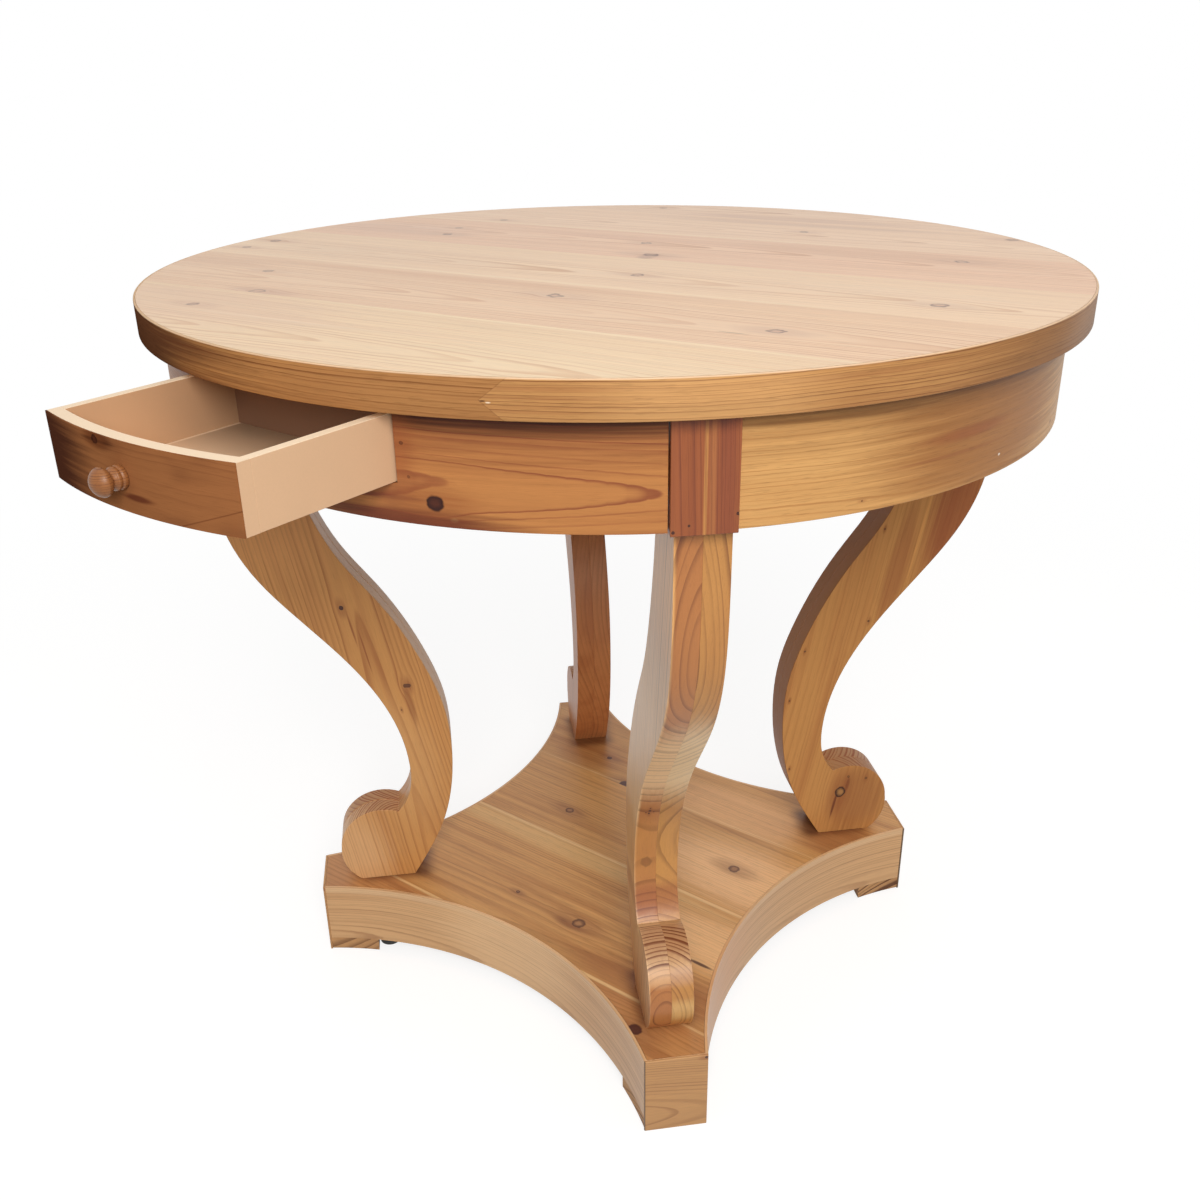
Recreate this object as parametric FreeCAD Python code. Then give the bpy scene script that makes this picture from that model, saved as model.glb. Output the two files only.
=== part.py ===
import FreeCAD, Part
import math
import os

# Round pine tavern table on four S-scroll legs, with a shaped plinth and one bow-fronted drawer.
# Millimetres. Z is up from the floor, the drawer opens towards -Y, the legs stand on the diagonals.

Vec = FreeCAD.Vector
up = Vec(0, 0, 1)
centre = Vec(0, 0, 0)

# ---- overall ----
table_height = 786.0
top_diameter = 900.0
top_thickness = 30.0
glue_gap = 0.25              # left between curved faces that are glued together
leg_angles = {"front_right": -45, "back_right": 45, "back_left": 135, "front_left": 225}

# ---- top ----
edge_band_thickness = 2.0
edge_band_joint_angle = -65.5
edge_band_joint_gap = 0.3
board_direction = 6.5        # the top's boards run this many degrees off X
board_seams = [-276.0, -121.0, 34.0, 189.0, 344.0]

# ---- apron and pilasters ----
top_overhang = 20.0          # past the apron, all round
apron_thickness = 15.0
apron_height = 88.0
pilaster_width = 50.0
pilaster_offset = 3.0        # each sits this far left of the middle of its leg
pilaster_thickness = 25.0
pilaster_proud = 2.0         # in front of the apron, and below it
apron_end_gap = 1.2          # shadow gap at one end of each apron panel

# ---- plinth ----
plinth_top = 91.0
plinth_bottom = 17.0
plinth_board_thickness = 20.0
corner_radius = 355.0        # from the axis to each clipped corner's face
corner_half_width = 31.5
plinth_waist = 197.3         # from the axis to the middle of each hollow side
skin_thickness = 3.0
facing_thickness = 2.5
front_seam_inset = 12.2      # in from the line between the front scrolls' feet
plinth_inner_seams = [-38.0, 104.0]
corner_block_length = 120.5
foot_length = 55.5
foot_inset = 0.5
foot_rounding = 2.5
pad_radius = 12.0
pad_foot_gap = 1.0
pad_sideways = 23.5

# ---- legs ----
lamination = 22.0            # each leg is two of these side by side
leg_stub_width = 59.0
shoulder_proud = 9.0         # the leg's front steps out under the pilaster by this much
scroll_setback = 45.0        # from the plinth's corner to the foot of the scroll
# The scroll, as (outwards, up) from where its front meets the plinth.
scroll_side = (19.0, 46.0)
scroll_lower = (14.5, 17.0)
scroll_top = (-4.0, 86.0)
leg_crease = (-50.0, 89.0)
leg_foot_length = 63.0
# The long curves, as (outwards from a straight line between scroll foot and shoulder, share of the rise).
outer_curve = [(9.0, 0.906), (13.1, 0.763), (1.2, 0.687), (-24.3, 0.607), (-62.3, 0.503), (-83.2, 0.426),
               (-94.7, 0.346), (-95.0, 0.259), (-86.2, 0.200)]
inner_curve = [(-81.2, 0.040), (-109.6, 0.110), (-132.6, 0.195), (-146.7, 0.285), (-152.2, 0.384),
               (-145.6, 0.468), (-132.3, 0.550), (-114.2, 0.624), (-89.8, 0.706), (-76.8, 0.781),
               (-69.0, 0.868), (-66.3, 0.946)]

# ---- cross rails under the top ----
rail_width = 60.0
rail_height = 30.0
rail_end_gap = 0.1

# ---- bolts and screws ----
bolt_radius = 4.0
bolt_length = 100.0
bolt_flange_radius = 9.0
bolt_flange_thickness = 1.5
bolt_head_across_flats = 13.0
bolt_head_height = 6.0
bolt_bore_clearance = 0.5
base_bolt_places = [(-50.0, 11.0), (-25.0, -11.0)]   # (outwards from the scroll foot, sideways)
base_bolt_recess = 12.0
stub_bolt_offset = 11.0
stub_bolt_recess = 8.0
screw_radius = 2.5
screw_head_radius = 4.5
screw_head_height = 3.0
screw_length = 45.0
screw_recess = 5.0
screw_places = [-260.0, -120.0, 120.0, 260.0]

# ---- drawer, drawn shut and then pulled out ----
drawer_out = 134.0
opening_half_width = 109.0
opening_height = 58.0
drawer_side_gap = 2.0
drawer_bottom_gap = 0.8
drawer_top_gap = 6.2
drawer_depth = 182.0
drawer_side_thickness = 8.0
drawer_front_thickness = 12.0
drawer_veneer = 1.2
drawer_back_thickness = 10.0
drawer_floor_lift = 1.2
drawer_floor_thickness = 3.0
drawer_groove = 3.0
drawer_groove_gap = 0.2

# ---- drawer supports ----
runner_gap = 0.4
runner_thickness = 8.0
runner_width = 25.6          # under the drawer's side and its gap
runner_end_gap = 3.0
guide_gap = 0.6
guide_thickness = 12.0
guide_height = 31.6
bearer_width = 28.0
bearer_set_back = 12.0       # its back edge from the drawer's back
stop_half_width = 60.0
stop_height = 25.6
stop_gap = 0.5
front_rail_depth = 43.0
front_rail_half_width = 150.0
front_rail_lift = 1.0

# ---- knob ----
knob_seat_gap = 0.1
# The turned base, as (out from the drawer front, radius), up to the neck.
knob_base = [(0.0, 8.3), (0.5, 8.8), (3.6, 8.8), (4.2, 8.1), (4.7, 8.5), (7.2, 8.5), (8.0, 7.3), (8.6, 7.0)]
knob_neck_radius = 6.6
knob_neck_out = 10.4
knob_rim_radius = 10.6       # the widest place, where the flare meets the domed front
knob_rim_out = 16.0
knob_dome_height = 7.2
knob_screw_radius = 2.0
knob_screw_length = 22.0
knob_screw_head_radius = 4.0
knob_screw_head_height = 2.4

# ---- worked out from the sizes above ----
top_radius = top_diameter / 2.0
top_underside = table_height - top_thickness
board_radius = top_radius - edge_band_thickness - glue_gap
apron_radius = top_radius - top_overhang
apron_inner = apron_radius - apron_thickness
apron_bottom = top_underside - apron_height
pilaster_front = apron_radius + pilaster_proud
pilaster_back = pilaster_front - pilaster_thickness
pilaster_bottom = apron_bottom - pilaster_proud
rail_bottom = top_underside - rail_height

corner_x = (corner_radius + corner_half_width) / math.sqrt(2.0)
corner_square = corner_radius ** 2 + corner_half_width ** 2
bay_centre = (corner_square - plinth_waist ** 2) / (2.0 * (corner_x - plinth_waist))
bay_radius = bay_centre - plinth_waist
board_bottom = plinth_top - plinth_board_thickness
core_corner = corner_radius - facing_thickness
foot_inner = core_corner - foot_length

scroll_foot = corner_radius - scroll_setback
plinth_seams = [front_seam_inset - scroll_foot / math.sqrt(2.0)] + plinth_inner_seams
leg_shoulder = pilaster_back + shoulder_proud
leg_stub_inner = pilaster_back - leg_stub_width
rail_end = leg_stub_inner - rail_end_gap
stub_bolt_height = rail_bottom + rail_height / 2.0

opening_bottom = top_underside - opening_height
drawer_half_width = opening_half_width - drawer_side_gap
drawer_bottom = opening_bottom + drawer_bottom_gap
drawer_top = top_underside - drawer_top_gap
drawer_front_inner = apron_radius - drawer_front_thickness
drawer_back_face = apron_radius - drawer_depth
side_inner = drawer_half_width - drawer_side_thickness
back_inner = drawer_back_face + drawer_back_thickness
floor_low = drawer_bottom + drawer_floor_lift
floor_high = floor_low + drawer_floor_thickness
runner_top = drawer_bottom - runner_gap
runner_bottom = runner_top - runner_thickness
guide_inner = drawer_half_width + guide_gap
guide_outer = guide_inner + guide_thickness
runner_inner = guide_inner - runner_width
runner_front = math.sqrt((apron_inner - runner_end_gap) ** 2 - guide_outer ** 2)
bearer_back = drawer_back_face - bearer_set_back
knob_height = (drawer_bottom + drawer_top) / 2.0
reach = 2.0 * top_radius     # bigger than anything it cuts


def block(x0, x1, y0, y1, z0, z1):
    return Part.makeBox(x1 - x0, y1 - y0, z1 - z0, Vec(x0, y0, z0))


def drum(radius, z0, z1, x=0.0, y=0.0):
    return Part.makeCylinder(radius, z1 - z0, Vec(x, y, z0), up)


def turned(shape, degrees):
    copy = shape.copy()
    copy.rotate(centre, up, degrees)
    return copy


def save(name, shape):
    shape = shape.removeSplitter()
    shape.exportStep("parts/" + name + ".step")
    print(name, len(shape.Solids), round(shape.Volume / 1000.0, 1))


def plinth_outline(inset, z0, z1):
    half = corner_radius - inset
    shape = turned(block(-half, half, -half, half, z0, z1), 45)
    for quarter in range(4):
        angle = math.radians(90 * quarter)
        x = bay_centre * math.cos(angle)
        y = bay_centre * math.sin(angle)
        shape = shape.cut(drum(bay_radius + inset, z0, z1, x, y))
    return shape


def leg_profile(t0, t1):
    # Drawn in the plane through the table's axis, r outwards and z up, then given its thickness.
    def from_foot(pair):
        return Vec(scroll_foot + pair[0], t0, plinth_top + pair[1])

    def along_rise(pair):
        offset, share = pair
        r = scroll_foot + share * (leg_shoulder - scroll_foot) + offset
        return Vec(r, t0, plinth_top + share * (pilaster_bottom - plinth_top))

    shoulder = Vec(leg_shoulder, t0, pilaster_bottom)
    crease = from_foot(leg_crease)
    outer = Part.BSplineCurve()
    outer.interpolate([shoulder] + [along_rise(pair) for pair in outer_curve] + [crease])
    foot_back = from_foot((-leg_foot_length, 0.0))
    stub_start = Vec(leg_stub_inner, t0, pilaster_bottom)
    inner = Part.BSplineCurve()
    inner.interpolate([foot_back] + [along_rise(pair) for pair in inner_curve] + [stub_start])
    foot_front = from_foot((0.0, 0.0))
    side = from_foot(scroll_side)
    edges = [outer.toShape()]
    edges.append(Part.Arc(crease, from_foot(scroll_top), side).toShape())
    edges.append(Part.Arc(side, from_foot(scroll_lower), foot_front).toShape())
    edges.append(Part.makeLine(foot_front, foot_back))
    edges.append(inner.toShape())
    stub = [stub_start, Vec(leg_stub_inner, t0, top_underside), Vec(pilaster_back, t0, top_underside),
            Vec(pilaster_back, t0, pilaster_bottom), shoulder]
    for start, end in zip(stub[:-1], stub[1:]):
        edges.append(Part.makeLine(start, end))
    face = Part.Face(Part.Wire(Part.__sortEdges__(edges)))
    return face.extrude(Vec(0, t1 - t0, 0))


def hexagon_head(height):
    corner = bolt_head_across_flats / math.sqrt(3.0)
    points = []
    for step in range(7):
        angle = math.radians(60 * step)
        points.append(Vec(corner * math.cos(angle), corner * math.sin(angle), 0))
    return Part.Face(Part.makePolygon(points)).extrude(Vec(0, 0, -height))


def bolt():
    # Flanged hexagon bolt: the flange's bearing face is at the origin and the shank points up.
    shape = drum(bolt_radius, 0, bolt_length)
    shape = shape.fuse(drum(bolt_flange_radius, -bolt_flange_thickness, 0))
    head = hexagon_head(bolt_head_height)
    head.translate(Vec(0, 0, -bolt_flange_thickness))
    return shape.fuse(head).removeSplitter()


def bolt_bore(recess):
    hole = drum(bolt_radius, 0, bolt_length)
    return hole.fuse(drum(bolt_flange_radius + bolt_bore_clearance, -recess, 0))


def placed_base_bolts(maker):
    shapes = []
    for outwards, sideways in base_bolt_places:
        shape = maker()
        shape.translate(Vec(scroll_foot + outwards, sideways, plinth_bottom + base_bolt_recess))
        shapes.append(shape)
    return shapes


def placed_stub_bolts(maker):
    shapes = []
    for side in (-1, 1):
        shape = maker()
        shape.rotate(centre, Vec(0, 1, 0), -90)
        shape.translate(Vec(pilaster_back - stub_bolt_recess, side * stub_bolt_offset, stub_bolt_height))
        shapes.append(shape)
    return shapes


def wood_screw():
    shape = drum(screw_radius, 0, screw_length)
    head = Part.makeCone(screw_head_radius, screw_radius, screw_head_height, centre, up)
    return shape.fuse(head).removeSplitter()


def screw_bore():
    return wood_screw().fuse(drum(screw_head_radius + glue_gap, -screw_recess, 0))


def placed_screws(maker):
    shapes = []
    for r in screw_places:
        shape = maker()
        shape.translate(Vec(r, 0, rail_bottom + screw_recess))
        shapes.append(shape)
    return shapes


os.makedirs("parts", exist_ok=True)

base_bores = Part.makeCompound(placed_base_bolts(lambda: bolt_bore(base_bolt_recess)))
stub_bores = Part.makeCompound(placed_stub_bolts(lambda: bolt_bore(stub_bolt_recess)))
screw_bores = Part.makeCompound(placed_screws(screw_bore))

# ---- legs: two laminations each, a stub inside the apron and a scroll foot on the plinth ----
inner_half = leg_profile(-lamination, 0.0).cut(base_bores).cut(stub_bores)
outer_half = leg_profile(0.0, lamination).cut(base_bores).cut(stub_bores)
for name, angle in leg_angles.items():
    save("leg_" + name + "_half_a", turned(inner_half, angle))
    save("leg_" + name + "_half_b", turned(outer_half, angle))

# ---- pilasters over the legs ----
pilaster_left = -pilaster_offset - pilaster_width / 2.0
pilaster_right = pilaster_left + pilaster_width
pilaster = block(pilaster_back, pilaster_front, pilaster_left, pilaster_right, pilaster_bottom, top_underside)
for name, angle in leg_angles.items():
    save("pilaster_" + name, turned(pilaster, angle))

# ---- apron: four bent panels, the front one notched for the drawer ----
ring = drum(apron_radius, apron_bottom, top_underside).cut(drum(apron_inner, apron_bottom, top_underside))
ring = turned(ring, 180)
panel_start = turned(block(0, reach, pilaster_right, reach, apron_bottom, top_underside), -45)
panel_end = turned(block(0, reach, -reach, pilaster_left - apron_end_gap, apron_bottom, top_underside), 45)
panel = ring.common(panel_start).common(panel_end)
drawer_notch = block(-opening_half_width, opening_half_width, -reach, 0, opening_bottom, table_height)
save("apron_right", panel)
save("apron_back", turned(panel, 90))
save("apron_left", turned(panel, 180))
save("apron_front", turned(panel, 270).cut(drawer_notch))

# ---- crossed rails under the top, half lapped where they meet ----
half_rail = rail_width / 2.0
rail = block(-rail_end, rail_end, -half_rail, half_rail, rail_bottom, top_underside)
opposite_bores = turned(stub_bores, 180)
rail = rail.cut(stub_bores).cut(opposite_bores).cut(screw_bores)
lap_height = rail_bottom + rail_height / 2.0
upper_lap = block(-half_rail, half_rail, -reach, reach, lap_height, top_underside)
lower_lap = block(-half_rail, half_rail, -reach, reach, rail_bottom, lap_height)
save("cross_rail_lower", turned(rail.cut(upper_lap), -45))
save("cross_rail_upper", turned(rail.cut(lower_lap), 45))

# ---- top: edge-glued boards inside a thin edge band ----
disc = drum(board_radius, top_underside, table_height)
all_screw_bores = Part.makeCompound([turned(screw_bores, -45), turned(screw_bores, 45)])
board_edges = [-top_radius] + board_seams + [top_radius]
for number, (low, high) in enumerate(zip(board_edges[:-1], board_edges[1:]), start=1):
    strip = turned(block(-reach, reach, low, high, top_underside, table_height), board_direction)
    save("top_board_" + str(number), disc.common(strip).cut(all_screw_bores))

band = drum(top_radius, top_underside, table_height)
band = band.cut(drum(top_radius - edge_band_thickness, top_underside, table_height))
half_joint = edge_band_joint_gap / 2.0
band_joint = block(0, reach, -half_joint, half_joint, top_underside, table_height)
save("top_edge_band", band.cut(turned(band_joint, edge_band_joint_angle)))

# ---- plinth ----
core_inset = skin_thickness + glue_gap
boards = plinth_outline(core_inset, board_bottom, plinth_top)
boards = boards.common(turned(block(-core_corner, core_corner, -core_corner, core_corner,
                                    board_bottom, plinth_top), 45))
leg_bores = Part.makeCompound([turned(base_bores, angle) for angle in leg_angles.values()])
boards = boards.cut(leg_bores)
plinth_edges = [-corner_radius] + plinth_seams + [corner_radius]
plinth_board_names = ("front", "middle_front", "middle_back", "back")
for name, low, high in zip(plinth_board_names, plinth_edges[:-1], plinth_edges[1:]):
    save("plinth_board_" + name, boards.common(block(-reach, reach, low, high, board_bottom, plinth_top)))

solid_side = plinth_outline(0.0, plinth_bottom, plinth_top)
shell = solid_side.cut(plinth_outline(skin_thickness, plinth_bottom, plinth_top))
shell = shell.common(turned(block(-core_corner, core_corner, -core_corner, core_corner,
                                  plinth_bottom, plinth_top), 45))
for number, name in enumerate(("right", "back", "left", "front")):
    wedge = turned(block(0, reach, 0, reach, plinth_bottom, plinth_top), 90 * number - 45)
    save("plinth_side_" + name, shell.common(wedge))

corner_slice = block(core_corner - corner_block_length, core_corner, -reach, reach,
                     plinth_bottom, board_bottom)
corner_block = turned(plinth_outline(core_inset, plinth_bottom, board_bottom), 45).common(corner_slice)
corner_block = corner_block.cut(base_bores)
foot_slice = block(foot_inner, core_corner, -reach, reach, 0, plinth_bottom)
foot = turned(plinth_outline(foot_inset, 0, plinth_bottom), 45).common(foot_slice)
# The foot's bottom edges are rounded, but for the one that the corner facing covers.
bottom_edges = [edge for edge in foot.Edges if edge.BoundBox.ZMax < foot_rounding]
underside = [edge for edge in bottom_edges if edge.BoundBox.XMin < core_corner - foot_rounding]
foot = foot.makeFillet(foot_rounding, underside)
facing_side = turned(plinth_outline(0.0, 0, plinth_top), 45)
facing = facing_side.common(block(core_corner, corner_radius, -reach, reach, 0, plinth_top))
for name, angle in leg_angles.items():
    save("plinth_corner_block_" + name, turned(corner_block, angle))
    save("foot_" + name, turned(foot, angle))
    save("corner_facing_" + name, turned(facing, angle))

pad = drum(pad_radius, 0, plinth_bottom, foot_inner - pad_foot_gap - pad_radius, pad_sideways)
save("rubber_pads", Part.makeCompound([turned(pad, angle) for angle in leg_angles.values()]))

# ---- bolts through the plinth and the leg stubs, screws up into the top ----
bolts = placed_base_bolts(bolt) + placed_stub_bolts(bolt)
save("leg_bolts", Part.makeCompound([turned(b, angle) for angle in leg_angles.values() for b in bolts]))
screws = placed_screws(wood_screw)
save("top_fixing_screws", Part.makeCompound([turned(s, angle) for angle in (-45, 45) for s in screws]))

# ---- drawer supports ----
front_rail_bottom = apron_bottom + front_rail_lift
front_rail = drum(apron_inner - glue_gap, front_rail_bottom, runner_bottom)
front_rail = front_rail.common(block(-front_rail_half_width, front_rail_half_width, -reach,
                                     front_rail_depth - apron_inner, front_rail_bottom, runner_bottom))
save("drawer_front_rail", front_rail)

bearer = block(-apron_inner, apron_inner, -bearer_back - bearer_width, -bearer_back,
               apron_bottom, runner_bottom)
bearer = bearer.fuse(block(-stop_half_width, stop_half_width, stop_gap - drawer_back_face, -bearer_back,
                           runner_bottom, runner_bottom + stop_height))
leg_beyond = block(leg_stub_inner, reach, -reach, reach, 0, top_underside)
for angle in (-45, 225):
    bearer = bearer.cut(turned(leg_beyond, angle))
save("drawer_bearer", bearer)

runner = block(runner_inner, guide_outer, -runner_front, -bearer_back, runner_bottom, runner_top)
guide = block(guide_inner, guide_outer, -runner_front, -bearer_back, runner_top, runner_top + guide_height)
runner = runner.fuse(guide)
save("drawer_runner_right", runner)
save("drawer_runner_left", runner.mirror(centre, Vec(1, 0, 0)))

# ---- drawer ----
pull = Vec(0, -drawer_out, 0)


def save_pulled(name, shape):
    shape.translate(pull)
    save(name, shape)


front_width = block(-drawer_half_width, drawer_half_width, -reach, 0, drawer_bottom, drawer_top)
veneer_back = apron_radius - drawer_veneer
screw_axis = Vec(0, -1, 0)
screw_seat = Vec(0, -drawer_front_inner, knob_height)
knob_screw = Part.makeCylinder(knob_screw_radius, knob_screw_length, screw_seat, screw_axis)
screw_head = Part.makeCylinder(knob_screw_head_radius, knob_screw_head_height, screw_seat, screw_axis * -1)

veneer = drum(apron_radius, drawer_bottom, drawer_top).cut(drum(veneer_back, drawer_bottom, drawer_top))
veneer = veneer.common(front_width).cut(knob_screw)
save_pulled("drawer_front_veneer", veneer)

core = drum(veneer_back - glue_gap, drawer_bottom, drawer_top)
core = core.cut(drum(drawer_front_inner, drawer_bottom, drawer_top))
core = core.common(front_width).cut(knob_screw)
floor_half = side_inner + drawer_groove
groove_front = drum(drawer_front_inner + drawer_groove + drawer_groove_gap, floor_low, floor_high)
groove_front = groove_front.common(block(-floor_half, floor_half, -reach, 0, floor_low, floor_high))
save_pulled("drawer_front", core.cut(groove_front))

floor_space = block(-floor_half, floor_half, -reach, -back_inner + drawer_groove, floor_low, floor_high)
box_limit = drum(drawer_front_inner - glue_gap, drawer_bottom, drawer_top)
side = block(side_inner, drawer_half_width, -reach, -drawer_back_face, drawer_bottom, drawer_top)
side = side.common(box_limit)
side = side.cut(block(side_inner, floor_half, -reach, -drawer_back_face, floor_low, floor_high))
save_pulled("drawer_side_left", side.mirror(centre, Vec(1, 0, 0)))
save_pulled("drawer_side_right", side)
back = block(-side_inner, side_inner, -back_inner, -drawer_back_face, drawer_bottom, drawer_top)
save_pulled("drawer_back", back.cut(floor_space))
floor = drum(drawer_front_inner + drawer_groove, floor_low, floor_high).common(floor_space)
save_pulled("drawer_floor", floor)

flare_length = knob_rim_out - knob_neck_out
flare_step = knob_rim_radius - knob_neck_radius
flare_radius = (flare_step ** 2 + flare_length ** 2) / (2.0 * flare_step)
flare_turn = math.asin(flare_length / flare_radius) / 2.0
dome_radius = (knob_rim_radius ** 2 + knob_dome_height ** 2) / (2.0 * knob_dome_height)
dome_turn = math.asin(knob_rim_radius / dome_radius) / 2.0
tip = knob_rim_out + knob_dome_height
neck = Vec(knob_neck_radius, -knob_neck_out, 0)
flare_side = Vec(knob_rim_radius - flare_radius * (1.0 - math.cos(flare_turn)),
                 -knob_rim_out + flare_radius * math.sin(flare_turn), 0)
rim = Vec(knob_rim_radius, -knob_rim_out, 0)
dome_side = Vec(dome_radius * math.sin(dome_turn), -tip + dome_radius * (1.0 - math.cos(dome_turn)), 0)
profile = [Vec(0, 0, 0)] + [Vec(r, -out, 0) for out, r in knob_base] + [neck]
edges = [Part.makeLine(a, b) for a, b in zip(profile[:-1], profile[1:])]
edges.append(Part.Arc(neck, flare_side, rim).toShape())
edges.append(Part.Arc(rim, dome_side, Vec(0, -tip, 0)).toShape())
edges.append(Part.makeLine(Vec(0, -tip, 0), Vec(0, 0, 0)))
knob = Part.Face(Part.Wire(edges)).revolve(centre, Vec(0, 1, 0), 360)
knob.translate(Vec(0, -apron_radius - knob_seat_gap, knob_height))
save_pulled("drawer_knob", knob.cut(knob_screw))
save_pulled("knob_screw", knob_screw.fuse(screw_head).removeSplitter())
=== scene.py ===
import math

import bmesh
import bpy
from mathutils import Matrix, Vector


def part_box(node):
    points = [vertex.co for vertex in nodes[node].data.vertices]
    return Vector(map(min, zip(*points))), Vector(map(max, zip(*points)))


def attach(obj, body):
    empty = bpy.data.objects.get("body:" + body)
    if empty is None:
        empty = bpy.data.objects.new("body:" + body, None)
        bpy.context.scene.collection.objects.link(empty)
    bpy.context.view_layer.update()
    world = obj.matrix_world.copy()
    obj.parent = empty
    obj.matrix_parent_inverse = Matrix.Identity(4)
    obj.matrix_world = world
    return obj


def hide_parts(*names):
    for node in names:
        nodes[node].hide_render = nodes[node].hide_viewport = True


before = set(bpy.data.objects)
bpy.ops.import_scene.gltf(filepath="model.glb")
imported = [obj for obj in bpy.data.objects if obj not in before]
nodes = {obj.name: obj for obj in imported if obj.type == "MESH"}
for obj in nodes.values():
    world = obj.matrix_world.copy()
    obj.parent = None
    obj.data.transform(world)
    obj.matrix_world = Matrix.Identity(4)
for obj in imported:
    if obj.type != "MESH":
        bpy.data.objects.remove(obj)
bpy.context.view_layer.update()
mm = 0.001               # in metres, for shapes
metre = 1000.0           # in mm, for grain
print("frame loaded,", len(nodes), "nodes")


def linear(colour):      # a colour as it reads on screen, 0 to 255, to the shader's linear values
    shares = [c / 255 for c in colour]
    return (*(s / 12.92 if s < 0.0405 else ((s + 0.055) / 1.055) ** 2.4 for s in shares), 1.0)


class Value:             # a shader socket that sums can be written with
    def __init__(self, sheet, socket):
        self.sheet = sheet
        self.socket = socket

    def math(self, operation, *others):
        return self.sheet.node("ShaderNodeMath", {"operation": operation}, [self, *others])

    def reflected(self, operation, other):
        return self.sheet.node("ShaderNodeMath", {"operation": operation}, [other, self])

    def __add__(self, other):
        return self.math("ADD", other)

    def __sub__(self, other):
        return self.math("SUBTRACT", other)

    def __mul__(self, other):
        return self.math("MULTIPLY", other)

    def __truediv__(self, other):
        return self.math("DIVIDE", other)

    def __rsub__(self, other):
        return self.reflected("SUBTRACT", other)

    def __rtruediv__(self, other):
        return self.reflected("DIVIDE", other)

    __radd__ = __add__
    __rmul__ = __mul__


def span(a, b):          # the length of a slope with sides a and b
    return (a * a + b * b).math("SQRT")


seedSteps = (3.7, 1.9, 5.3)      # how far apart two seeds start in a noise


class Sheet:             # the node tree of one material, or of the sky
    def __init__(self, name, owner=None):
        self.material = owner or bpy.data.materials.new(name)
        self.material.use_nodes = True
        self.tree = self.material.node_tree
        self.tree.nodes.clear()

    def node(self, kind, settings=None, sockets=(), out=0):
        made = self.tree.nodes.new(kind)
        for name, value in (settings or {}).items():
            setattr(made, name, value)
        given = sockets.items() if isinstance(sockets, dict) else enumerate(sockets)
        for name, value in given:
            if isinstance(value, Value):
                self.tree.links.new(value.socket, made.inputs[name])
            else:
                made.inputs[name].default_value = value
        return Value(self, made.outputs[out]) if made.outputs else None

    def mix(self, share, a, b):                  # 6, 7 and output 2 are the sockets for colours
        return self.node("ShaderNodeMix", {"data_type": "RGBA"}, {0: share, 6: a, 7: b}, out=2)

    def scaled(self, colour, factor):
        if isinstance(colour, tuple):
            colour = colour[:3]
        sockets = {"Vector": colour, "Scale": factor}
        return self.node("ShaderNodeVectorMath", {"operation": "SCALE"}, sockets)

    def alike(self, vector, direction):          # 1 where the two point the same way
        settings = {"operation": "DOT_PRODUCT"}
        return self.node("ShaderNodeVectorMath", settings, [vector, direction], out="Value")

    def smooth(self, value, low, high):
        settings = {"interpolation_type": "SMOOTHSTEP"}
        return self.node("ShaderNodeMapRange", settings, [value, low, high, 0.0, 1.0])

    def vector(self, x, y, z):
        return self.node("ShaderNodeCombineXYZ", None, [x, y, z])

    def split(self, vector):
        x = self.node("ShaderNodeSeparateXYZ", None, [vector])
        made = x.socket.node
        return x, Value(self, made.outputs["Y"]), Value(self, made.outputs["Z"])

    def noise(self, place, size, seed=0.0, detail=2.0):      # size of one blotch in mm
        settings = {"operation": "MULTIPLY_ADD"}
        shares = tuple(1 / s for s in size)
        shift = tuple(seed * step for step in seedSteps)
        spot = self.node("ShaderNodeVectorMath", settings, [place, shares, shift])
        sockets = {"Vector": spot, "Scale": 1.0, "Detail": detail}
        return self.node("ShaderNodeTexNoise", None, sockets)

    def wander(self, value, seed):               # drifts between 0 and 1 as value grows
        sockets = {"W": value + seed, "Scale": 1.0}
        return self.node("ShaderNodeTexNoise", {"noise_dimensions": "1D"}, sockets)

    def bump(self, strength, depth, height):
        sockets = {"Strength": strength, "Distance": depth, "Height": height}
        return self.node("ShaderNodeBump", None, sockets)

    def finish(self, sockets):
        shader = self.node("ShaderNodeBsdfPrincipled", None, sockets)
        self.node("ShaderNodeOutputMaterial", None, [shader])
        return self.material


# The grains say where a point lies in the wood, in mm: along the grain, across the face, deep.
def turnedPlace(sheet, turn, centre=(0, 0)):
    here = sheet.node("ShaderNodeTexCoord", out="Object")
    settings = {"operation": "MULTIPLY_ADD"}
    shift = (-centre[0] * metre, -centre[1] * metre, 0.0)
    here = sheet.node("ShaderNodeVectorMath", settings, [here, (metre,) * 3, shift])
    sockets = {"Vector": here, "Angle": math.radians(-turn)}
    return sheet.split(sheet.node("ShaderNodeVectorRotate", {"rotation_type": "Z_AXIS"}, sockets))


def flatGrain(sheet, turn=0.0):                  # a level board, grain at turn degrees from X
    return sheet.vector(*turnedPlace(sheet, turn))


def bentGrain(sheet, turn, radius, centre=(0, 0)):           # a strip bent round centre
    x, y, z = turnedPlace(sheet, turn, centre)
    return sheet.vector(y.math("ARCTAN2", x) * radius, z, span(x, y))


def uprightGrain(sheet, turn):                   # grain straight up, face towards turn
    x, y, z = turnedPlace(sheet, turn)
    return sheet.vector(z, y, x)


def levelGrain(sheet, turn):                     # grain level, face towards turn
    x, y, z = turnedPlace(sheet, turn)
    return sheet.vector(y, z, x)


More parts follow.
